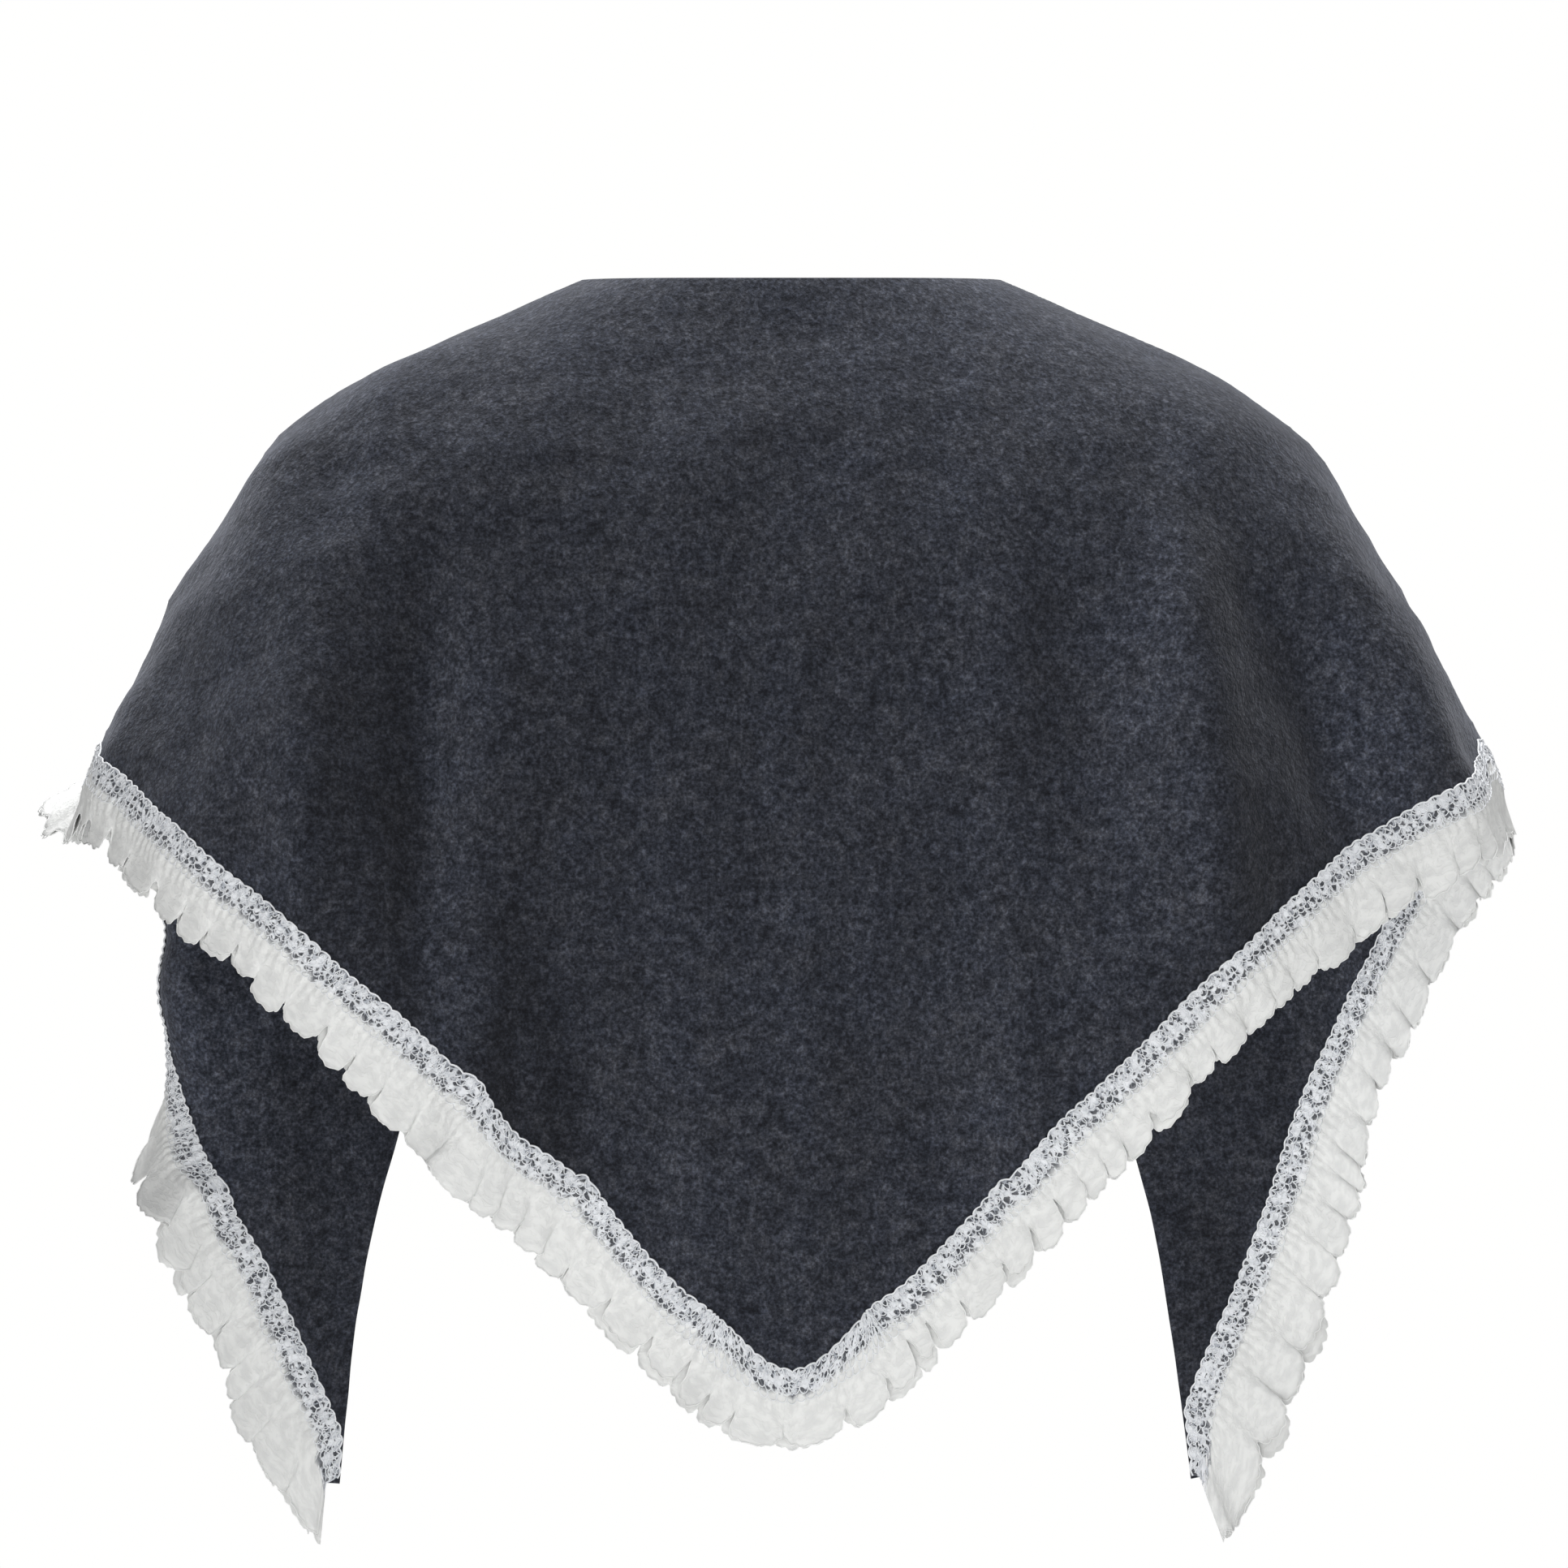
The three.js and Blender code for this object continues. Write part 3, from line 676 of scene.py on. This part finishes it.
# %% [markdown]
# ## The surface that a strip lies on
#
# The wool's columns meet the hem at a slant, but lace is sewn on square. So the band under the
# heading is sheared back until its columns stand square to the hem, and the frill goes on from
# there: away from the hem, a little downwards because it hangs, and turned at the two ends.

# %% Band and frill
def square_band():
    """The cloth under the lace, [column, row], with its columns square to the hem."""
    band = cloth[:, -BAND_ROWS - 1:]
    slant = np.sum((band[:, -1] - band[:, 0]) * unit(np.gradient(band[:, -1], axis=0)), axis=-1)
    from_point = np.abs(hem_lengths - hem_lengths[COLUMNS_A_SIDE])
    slant *= smooth_step(from_point / POINT_EASE)
    nearby = np.interp(along_hem, hem_lengths, slant)
    aside = np.interp(along_hem + nearby, hem_lengths, slant)
    rows = []
    for row in range(BAND_ROWS + 1):
        place = along_hem + aside * (1 - row / BAND_ROWS)
        column = np.interp(place, hem_lengths, np.arange(len(hem_lengths)))
        rows.append(curve_through(band[:, row], column))
    return np.stack(rows, axis=1)


def lace_middle(reach, pleat):
    """The surface of a gathered strip, [column, row], that hangs as far past the hem as reach."""
    band = square_band()
    hem = band[:, -1]
    column = np.interp(along_hem, hem_lengths, np.arange(len(hem_lengths)))
    normal = unit(curve_through(cloth_normals[:, -1], column))
    along = unit(np.gradient(hem, axis=0))
    away = unit(np.cross(along, normal))
    away *= np.sign(np.sum(away * (hem - band[:, -2]), axis=-1, keepdims=True))
    away = unit(away + np.array([0.0, 0.0, -DROOP]))
    fan = 1 - smooth_step(to_end / TIP_FAN)
    down_hem = along * np.where(along_hem < hem_total / 2, -1, 1)[:, None]
    away = unit(away + (down_hem - away) * (TIP_TURN * fan)[:, None])
    rows = []
    for share in np.linspace(0, 1, FRILL_ROWS + 1)[1:]:
        out = reach * share
        part = out / hang
        off = rise * part ** RISE_CURVE * np.sin(pleat)
        aside = lap * part * np.sin(pleat)
        rows.append(hem + away * (HEM_GAP + out)[:, None] + normal * off[:, None]
                    + along * aside[:, None])
    return np.concatenate([band, np.stack(rows, axis=1)], axis=1)


heading_depth = np.linalg.norm(np.diff(square_band(), axis=1), axis=-1).sum(axis=1)
print(f"the heading is {np.median(heading_depth):.1f} mm deep in most places")

# %% [markdown]
# ## The edges of the strips
#
# Lace isn't cut straight. A cord runs round small scallops along its top, and its free edge is
# scalloped too. On top of that the gathers make a bigger outline: each pleat hangs down as a round
# lobe with a notch beside it, and the strip behind has its notches a little further on.

# %% Two strips, one on each face of the wool
LACE_WALL = 0.3
HEADING_OFF = WOOL_WALL / 2 + 0.35   # from the middle of the wool to the inside of a heading's net
FRILL_OFF = 0.65             # the same for the frill, where no wool is between the strips
PUCKER_WIDTH, PUCKER_DEPTH = (3.2, 6.4), 0.4
INSIDE_TURN = 0.8            # how far the inner strip's pleats are shifted, as a phase
LOBE_DEPTH, LOBE_TURN, LOBE_ROUND = (3.0, 16.0), 2.8, 1.2
SCALLOP, SCALLOP_DEPTH, SCALLOP_ROUND = 6.8, 1.8, 0.7
SCALLOP_FOLLOW = 0.4         # how much of a scallop the row above the free edge follows
CORD_SCALLOP, CORD_SCALLOP_DEPTH = (5.2, 7.6), 1.3
FRILL_DRIFT, FRILL_SETTLES = 0.9, 5.0    # the frill comes in to its place and drifts off it


def scallops(phase, sharpness):
    """1 in the notches between round scallops and 0 on their crowns; a scallop is 2 pi long."""
    return 1 - np.abs(np.sin(phase / 2)) ** sharpness


def lace_strip(face, seed):
    """Points of the strip on one face: 1 is the outer face of the shawl and -1 the inner one."""
    phase = pleat + (0 if face > 0 else INSIDE_TURN)
    notch = (uneven_value(along_hem, *LOBE_DEPTH, spacing=21, seed=seed + 1)
             * scallops(phase - LOBE_TURN, LOBE_ROUND))
    notch *= calm * smooth_step(to_end / TIP_FAN)
    drift = uneven_value(along_hem, -HANG_DRIFT, HANG_DRIFT, spacing=26, seed=seed + 2)
    grid = lace_middle(hang + drift - notch, phase)
    free = lengths_along(grid[:, -1])
    edge = unit(grid[:, -1] - grid[:, -2]) * (
        SCALLOP_DEPTH * scallops(2 * np.pi * free / SCALLOP, SCALLOP_ROUND))[:, None]
    cord_phase = uneven_phase(along_hem, *CORD_SCALLOP, seed=seed + 3)
    top = scallops(cord_phase, SCALLOP_ROUND)[:, None]
    normals = normals_of(grid)
    grid[:, 0] += unit(grid[:, 1] - grid[:, 0]) * CORD_SCALLOP_DEPTH * top
    grid[:, -2] -= SCALLOP_FOLLOW * edge
    grid[:, -1] -= edge
    pucker = 1 + np.sin(uneven_phase(along_hem, *PUCKER_WIDTH, seed=seed + 4))
    off = np.empty(grid.shape[:2])
    off[:, :BAND_ROWS + 1] = (HEADING_OFF + PUCKER_DEPTH * pucker)[:, None]
    share = np.linspace(0, 1, FRILL_ROWS + 1)[1:]
    away = uneven_value(along_hem, 0.0, FRILL_DRIFT, spacing=9, seed=seed + 5)[:, None] * share
    step_in = (off[:, :1] - FRILL_OFF) * np.exp(-share * FRILL_SETTLES)
    off[:, BAND_ROWS + 1:] = FRILL_OFF + away + step_in
    return grid + face * off[..., None] * normals


def strip_uv(grid):
    """U runs along the hem and V down the strip, both in metres."""
    down = np.cumsum(np.linalg.norm(np.diff(grid, axis=1), axis=-1), axis=1)
    down = np.concatenate([np.zeros((len(grid), 1)), down], axis=1)
    return np.stack([np.broadcast_to(along_hem[:, None], down.shape), down], axis=-1) * MM


def make_strip(name, face, seed):
    grid = lace_strip(face, seed)
    strip = sheet_on_grid(name, grid, strip_uv(grid))
    give_wall(strip, LACE_WALL)
    print(name + ":", wall_triangles(strip), "triangles")
    return grid, strip


face_grid, face_strip = make_strip("lace_strip_face", 1, seed=21)
inside_grid, inside_strip = make_strip("lace_strip_inside", -1, seed=31)
# The strip before it was gathered is as long as its pleats, with the scallops left out.
lace_length = lengths_along(lace_middle(hang - HANG_DRIFT, pleat)[:, -1])[-1]
print(f"{lace_length:.0f} mm of lace is gathered onto {hem_total:.0f} mm of hem")

# %% [markdown]
# ## Cords
#
# What makes lace read as lace is its raised thread: a bright cord round the scallops at both
# edges, and loops of thread that cross the gathered net. Each thread is one poly curve with a
# round bevel, made a mesh at the end, so that it catches the light and casts its own shadow.

# %% Edge cords and net loops
TOP_CORD, FRILL_CORD, LOOP_THREAD = 0.45, 0.26, 0.28
CORD_OFF, THREAD_OFF, LOOP_LIFT = 0.15, 0.3, 0.18
POINTS_A_LOOP = 6
LOOP_END = 2.0               # the loops stop this short of the strip's two ends
LOOP_SIZE, LOOP_DRIFT = (0.6, 1.3), 0.9
LoopRow = namedtuple("LoopRow", "centre height pitch curl seed")
LOOP_ROWS = [
    LoopRow(2.0, 1.4, (2.2, 3.4), 0.3, 0), LoopRow(4.8, 1.5, (2.6, 4.4), 1.3, 3),
    LoopRow(7.6, 1.7, (2.8, 4.8), 1.2, 6), LoopRow(10.6, 1.9, (2.8, 4.8), 1.0, 9),
    LoopRow(13.6, 1.6, (3.0, 5.4), 1.2, 12),
]


def thread_piece(name, paths, radius):
    """One mesh of round threads that follow paths of points, in millimetres."""
    curve = bpy.data.curves.new(name, "CURVE")
    curve.dimensions = "3D"
    curve.bevel_depth = radius * MM
    curve.bevel_resolution = 0
    curve.use_fill_caps = True
    for path in paths:
        line = curve.splines.new("POLY")
        line.points.add(len(path) - 1)
        line.points.foreach_set("co", np.c_[path * MM, np.ones(len(path))].ravel())
    drawn = add_object(name + "_curve", curve)
    shown = drawn.evaluated_get(bpy.context.evaluated_depsgraph_get())
    mesh = bpy.data.meshes.new_from_object(shown)
    bpy.data.objects.remove(drawn)
    mesh.name = name
    mesh.shade_smooth()
    piece = add_object(name, mesh)
    print(name + ":", wall_triangles(piece), "triangles")
    return piece


def on_strip(grid, along, down, off):
    """Points off a strip's surface at millimetres along the hem and down from its top."""
    normals = normals_of(grid[:, :BAND_ROWS + 2])
    # The heading is as deep nearly everywhere, so one column stands for all of them.
    column = np.clip(along / along_hem[1], 0, len(grid) - 1.001)
    depth = lengths_along(grid[len(grid) // 3, :BAND_ROWS + 2])
    row = np.interp(down, depth, np.arange(len(depth)))
    i, j = column.astype(int), np.minimum(row.astype(int), BAND_ROWS)
    u, v = (column - i)[:, None], (row - j)[:, None]

    def mixed(field):
        return ((field[i, j] * (1 - u) + field[i + 1, j] * u) * (1 - v)
                + (field[i, j + 1] * (1 - u) + field[i + 1, j + 1] * u) * v)

    return mixed(grid) + mixed(normals) * off[:, None]


def loop_path(grid, face, row, seed):
    """A thread that runs along the strip in uneven loops, high and low of a centre line."""
    count = int(hem_total / row.pitch[0] * POINTS_A_LOOP)
    along = np.linspace(LOOP_END, hem_total - LOOP_END, count)
    phase = uneven_phase(along, *row.pitch, seed=seed)
    size = uneven_value(along, *LOOP_SIZE, spacing=row.pitch[1] * 1.3, seed=seed + 1)
    drift = uneven_value(along, -LOOP_DRIFT, LOOP_DRIFT, spacing=row.pitch[1] * 2.1, seed=seed + 2)
    aside = along + row.curl * size * np.sin(phase)
    down = row.centre + drift + row.height * size * np.cos(phase)
    return on_strip(grid, aside, down, face * (THREAD_OFF + LOOP_LIFT * np.sin(phase + 1)))


def make_threads(side_name, grid, face, seed):
    normals = normals_of(grid)
    top, free = (grid[:, row] + normals[:, row] * face * CORD_OFF for row in (0, -1))
    top_cord = thread_piece("top_cord_" + side_name, [top], TOP_CORD)
    free_cord = thread_piece("frill_cord_" + side_name, [free], FRILL_CORD)
    loops = thread_piece("net_loops_" + side_name, [
        loop_path(grid, face, row, seed + row.seed) for row in LOOP_ROWS], LOOP_THREAD)
    return [top_cord, loops, free_cord]


face_threads = make_threads("face", face_grid, 1, seed=41)
inside_threads = make_threads("inside", inside_grid, -1, seed=61)

# %% [markdown]
# ## The finish of the wool
#
# Brushed wool in a charcoal mix is spun from darker and lighter fibres, so it is flecked all over
# and never one grey. A woven bump would be wrong, because the nap hides the weave. So three sizes
# of noise on Object coordinates mix a dark and a light fibre colour, two of them lift the surface,
# and sheen gives the pale bloom that a nap has where the cloth turns away. Shade and light are also
# painted on the folds. A point attribute gives how far the cloth is tilted aside, and it makes the
# flank of a fold that faces one way paler and the other one darker.

# %% Helpers for materials
def new_material(name):
    material = bpy.data.materials.new(name)
    material.use_nodes = True
    return material, material.node_tree.nodes, material.node_tree.links


def add_noise(nodes, links, vector, scale, detail=2.0, rough=0.5):
    noise = nodes.new("ShaderNodeTexNoise")
    noise.inputs["Scale"].default_value = scale
    noise.inputs["Detail"].default_value = detail
    noise.inputs["Roughness"].default_value = rough
    links.new(vector, noise.inputs["Vector"])
    return noise.outputs["Fac"]


def add_ramp(nodes, links, value, stops):
    ramp = nodes.new("ShaderNodeValToRGB")
    first, last = ramp.color_ramp.elements
    first.position, first.color = stops[0]
    last.position, last.color = stops[-1]
    for position, colour in stops[1:-1]:
        ramp.color_ramp.elements.new(position).color = colour
    links.new(value, ramp.inputs["Fac"])
    return ramp.outputs["Color"]


def mix_colours(nodes, links, blend, factor, first, second):
    mix = nodes.new("ShaderNodeMix")
    mix.data_type, mix.blend_type = "RGBA", blend
    for socket, value in (("Factor", factor), ("A", first), ("B", second)):
        target = next(s for s in mix.inputs if s.name == socket
                      and s.type == ("VALUE" if socket == "Factor" else "RGBA"))
        if isinstance(value, bpy.types.NodeSocket):
            links.new(value, target)
        else:
            target.default_value = value
    return next(s for s in mix.outputs if s.type == "RGBA")


def add_bump(nodes, links, height, distance, strength, normal=None):
    bump = nodes.new("ShaderNodeBump")
    bump.inputs["Distance"].default_value = distance
    bump.inputs["Strength"].default_value = strength
    links.new(height, bump.inputs["Height"])
    if normal is not None:
        links.new(normal, bump.inputs["Normal"])
    return bump.outputs["Normal"]


def add_map(nodes, links, value, low, high, to_low=0.0, to_high=1.0):
    remap = nodes.new("ShaderNodeMapRange")
    for socket, number in (("From Min", low), ("From Max", high), ("To Min", to_low),
                           ("To Max", to_high)):
        remap.inputs[socket].default_value = number
    links.new(value, remap.inputs["Value"])
    return remap.outputs["Result"]


def add_math(nodes, links, operation, *values):
    math = nodes.new("ShaderNodeMath")
    math.operation = operation
    for socket, value in zip(math.inputs, values):
        if isinstance(value, bpy.types.NodeSocket):
            links.new(value, socket)
        else:
            socket.default_value = value
    return math.outputs["Value"]


print("materials so far:", [material.name for material in bpy.data.materials])

# %% [markdown]
# ## Wool nodes
#
# The tufts give the base colour, the fibres fleck it, and a slow cloud tints it by a few per cent.
# Scales are in cells a metre: a fibre fleck is about 1.6 mm across and a tuft about 5 mm.

# %% Wool material
FIBRE_SCALE, TUFT_SCALE, CLOUD_SCALE = 620.0, 200.0, 34.0
TUFT_LIFT, FIBRE_LIFT = 0.0022, 0.0009


def make_wool_material():
    material, nodes, links = new_material("charcoal_wool")
    shader = nodes["Principled BSDF"]
    place = nodes.new("ShaderNodeTexCoord").outputs["Object"]
    fibre = add_noise(nodes, links, place, FIBRE_SCALE, 3.0, 0.65)
    tuft = add_noise(nodes, links, place, TUFT_SCALE, 3.0, 0.6)
    cloud = add_noise(nodes, links, place, CLOUD_SCALE, 2.0, 0.5)
    base = add_ramp(nodes, links, tuft, [
        (0.30, (0.0122, 0.0137, 0.0184, 1)), (0.5, (0.0250, 0.0275, 0.0360, 1)),
        (0.70, (0.0448, 0.0476, 0.0580, 1))])
    flecks = add_ramp(nodes, links, fibre, [
        (0.36, (0.45, 0.45, 0.47, 1)), (0.52, (1.0, 1.0, 1.0, 1)), (0.68, (2.0, 2.0, 2.05, 1))])
    tint = add_ramp(nodes, links, cloud, [
        (0.35, (0.97, 0.99, 1.02, 1)), (0.65, (1.03, 1.02, 1.0, 1))])
    # Painted shade and light on the folds: one flank up to 1.7 times paler, the other down to half.
    painted_shade_input = nodes.new("ShaderNodeAttribute")
    painted_shade_input.attribute_name = "painted_shade"
    painted_flank_shade = add_ramp(nodes, links, add_map(nodes, links, painted_shade_input.outputs["Fac"], -1.0, 1.0), [
        (0.0, (1.7, 1.7, 1.7, 1)), (0.5, (1.0, 1.0, 1.0, 1)), (1.0, (0.5, 0.5, 0.5, 1))])
    flecked = mix_colours(nodes, links, "MULTIPLY", 1.0, base, flecks)
    tinted = mix_colours(nodes, links, "MULTIPLY", 1.0, flecked, tint)
    links.new(mix_colours(nodes, links, "MULTIPLY", 1.0, tinted, painted_flank_shade),
              shader.inputs["Base Color"])
    tufts = add_bump(nodes, links, tuft, TUFT_LIFT, 0.55)
    links.new(add_bump(nodes, links, fibre, FIBRE_LIFT, 0.6, tufts), shader.inputs["Normal"])
    shader.inputs["Roughness"].default_value = 0.95
    shader.inputs["Specular IOR Level"].default_value = 0.15
    shader.inputs["Sheen Weight"].default_value = 0.28
    shader.inputs["Sheen Roughness"].default_value = 0.45
    shader.inputs["Sheen Tint"].default_value = (0.62, 0.64, 0.72, 1.0)
    return material


wool.data.materials.append(make_wool_material())
print("the wool's finish is", wool.data.materials[0].name)

# %% [markdown]
# ## The wool as one flat cut
#
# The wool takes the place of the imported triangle. It is cut as one triangle, 1.46 m along the long
# side and 0.54 m deep, so its area is half of that rectangle. The depth is the cloth down the centre
# back, and with short sides as long as the hem, 0.91 m each, it gives the long side. The drawn long
# edge is 4% longer than that. Nothing holds the cloth up but the wearer.

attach(wool, "root")
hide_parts("wool_triangle")

# %% [markdown]
# ## The finish of the lace
#
# Cotton lace is matt and slightly cream where it is closed, and looks cooler where the dark wool
# shows between its threads. The net could be cut out of the mesh, but its holes are under 3 mm, so
# the material opens them instead: cells measured along the strip, whose threads are wider where
# the gathers crowd them. The lower part closes up at an uneven line into the opaque frill.

# %% Lace materials
NET_CELLS = 340.0            # cells a metre, so a hole is a little under 3 mm
CLUMP_SCALE, CROWD_SCALE = 210.0, 90.0
CORD_BAND = (0.0055, 0.0085)         # the net is denser down to here below the top cord
FRILL_CLOSES = (0.0140, 0.0172)      # where the net gives way to the closed frill
LINE_WANDER = 0.007
OPEN_COVER = 0.10            # what fine threads still cover inside a hole


def make_thread_material(name, colour):
    material, nodes, _links = new_material(name)
    shader = nodes["Principled BSDF"]
    shader.inputs["Base Color"].default_value = (*colour, 1.0)
    shader.inputs["Roughness"].default_value = 0.6
    shader.inputs["Specular IOR Level"].default_value = 0.3
    return material


def make_lace_material():
    material, nodes, links = new_material("gathered_lace")
    shader = nodes["Principled BSDF"]
    place = nodes.new("ShaderNodeUVMap")
    place.uv_map = "along_lace"
    uv = place.outputs["UV"]
    split = nodes.new("ShaderNodeSeparateXYZ")
    links.new(uv, split.inputs["Vector"])
    net = nodes.new("ShaderNodeTexVoronoi")
    net.feature = "DISTANCE_TO_EDGE"
    net.inputs["Scale"].default_value = NET_CELLS
    links.new(uv, net.inputs["Vector"])
    clump = add_noise(nodes, links, uv, CLUMP_SCALE, 2.0, 0.55)
    crowd = add_noise(nodes, links, uv, CROWD_SCALE, 2.0, 0.5)
    # Threads are wider where the gathers crowd them, and all along the top.
    patches = add_map(nodes, links, clump, 0.40, 0.62, 0.0, 0.26)
    near_top = add_map(nodes, links, split.outputs["Y"], *CORD_BAND, 0.09, 0.0)
    width = add_math(nodes, links, "ADD", patches, near_top)
    ground = add_math(nodes, links, "SUBTRACT", width, net.outputs["Distance"])
    thread = add_map(nodes, links, ground, -0.05, 0.05)
    # The net closes up into the opaque frill at an uneven line.
    wander = add_math(nodes, links, "MULTIPLY_ADD", crowd, LINE_WANDER, split.outputs["Y"])
    closed = add_map(nodes, links, wander, *FRILL_CLOSES)
    cover = add_map(nodes, links, thread, 0.0, 1.0, OPEN_COVER, 1.0)
    links.new(add_math(nodes, links, "MAXIMUM", cover, closed), shader.inputs["Alpha"])
    net_colour = add_ramp(nodes, links, clump, [
        (0.40, (0.38, 0.40, 0.44, 1)), (0.58, (0.74, 0.755, 0.785, 1))])
    frill_colour = add_ramp(nodes, links, clump, [
        (0.36, (0.655, 0.66, 0.655, 1)), (0.62, (0.745, 0.75, 0.74, 1))])
    links.new(mix_colours(nodes, links, "MIX", closed, net_colour, frill_colour),
              shader.inputs["Base Color"])
    links.new(add_bump(nodes, links, thread, 0.0003, 0.4), shader.inputs["Normal"])
    shader.inputs["Roughness"].default_value = 0.7
    shader.inputs["Specular IOR Level"].default_value = 0.2
    return material


white_thread = make_thread_material("white_thread", (0.77, 0.785, 0.81))
cream_thread = make_thread_material("cream_thread", (0.79, 0.795, 0.79))
lace_net = make_lace_material()
for strip, (top_cord, loops, free_cord) in ((face_strip, face_threads),
                                            (inside_strip, inside_threads)):
    strip.data.materials.append(lace_net)
    top_cord.data.materials.append(white_thread)
    loops.data.materials.append(white_thread)
    free_cord.data.materials.append(cream_thread)
print("finishes:", lace_net.name, white_thread.name, cream_thread.name)

# %% [markdown]
# ## The lace as two gathered cuts
#
# Each strip is one straight cut, 38 mm wide, sewn over the wool's edge on its own face. Its length
# is what its pleats measure along the free edge, which is more than the hem it is gathered onto.
# The cords and loops are part of the strip that carries them.

for piece in (face_strip, inside_strip, *face_threads, *inside_threads):
    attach(piece, "root")
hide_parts("lace_frill", "lace_heading_face")
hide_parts("lace_heading_inside")
